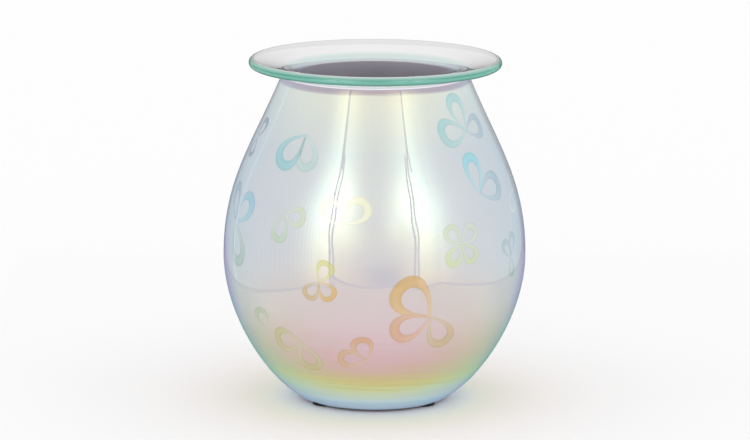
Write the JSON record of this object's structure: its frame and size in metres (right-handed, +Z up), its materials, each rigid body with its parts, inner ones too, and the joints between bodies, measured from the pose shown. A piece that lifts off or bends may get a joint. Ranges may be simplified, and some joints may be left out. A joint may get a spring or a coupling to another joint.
{
  "type": "electric oil burner",
  "caption": "Egg-shaped lustre glass lamp with a halogen bulb inside and a loose clear glass dish on top that warms scented oil.",
  "frame": {"origin": "centre of the base on the table it stands on", "axes": "+Z up along the axis of the glass, -Y towards the front, +Y towards the cord inlet"},
  "size_m": [0.125, 0.125, 0.1424],
  "materials": {
    "lustre_glass": "polished",
    "float_glass": "polished",
    "black_plastic": "satin",
    "black_rubber": "matte",
    "silicone": "matte",
    "spring_steel": "satin",
    "zinc_steel": "satin",
    "ceramic": "satin",
    "brass": "satin",
    "white_plastic": "satin",
    "brown_lead": "satin",
    "blue_lead": "satin",
    "lamp_mirror": "polished",
    "lamp_glass": "polished"
  },
  "bodies": {
    "stand": {"glass_shade": "lustre_glass", "base_tray": "black_plastic", "base_cover": "black_plastic", "shade_seal": "silicone", "rubber_foot_1": "black_rubber", "rubber_foot_2": "black_rubber", "rubber_foot_3": "black_rubber", "rubber_foot_4": "black_rubber", "cover_screw_1": "zinc_steel", "cover_screw_2": "zinc_steel", "cover_screw_3": "zinc_steel", "shade_clip_1": "spring_steel", "shade_clip_2": "spring_steel", "shade_clip_3": "spring_steel", "clip_screw_1": "zinc_steel", "clip_screw_2": "zinc_steel", "clip_screw_3": "zinc_steel", "cord_bush": "black_rubber", "lamp_bracket": "zinc_steel", "bracket_screw_1": "zinc_steel", "bracket_screw_2": "zinc_steel", "lamp_holder": "ceramic", "holder_screw_1": "zinc_steel", "holder_screw_2": "zinc_steel", "holder_contact_1": "brass", "holder_contact_2": "brass", "terminal_block": "white_plastic", "terminal_screw_1": "brass", "terminal_screw_2": "brass", "terminal_screw_3": "brass", "terminal_screw_4": "brass", "lead_live": "brown_lead", "lead_neutral": "blue_lead"},
    "dish": {"oil_dish": "float_glass"},
    "lamp": {"bulb_cap": "ceramic", "bulb_reflector": "lamp_mirror", "bulb_capsule": "lamp_glass", "bulb_lens": "lamp_glass", "bulb_pin_1": "zinc_steel", "bulb_pin_2": "zinc_steel"}
  },
  "joints": [
    {"name": "dish_lift", "type": "slide", "parent": "stand", "child": "dish", "axis": [0, 0, 1], "range_m": [0, 0.08]},
    {"name": "bulb_twist", "type": "hinge", "parent": "stand", "child": "lamp", "pos_m": [0, 0, 0.0501], "axis": [0, 0, 1], "range_deg": [0, 35]}
  ]
}
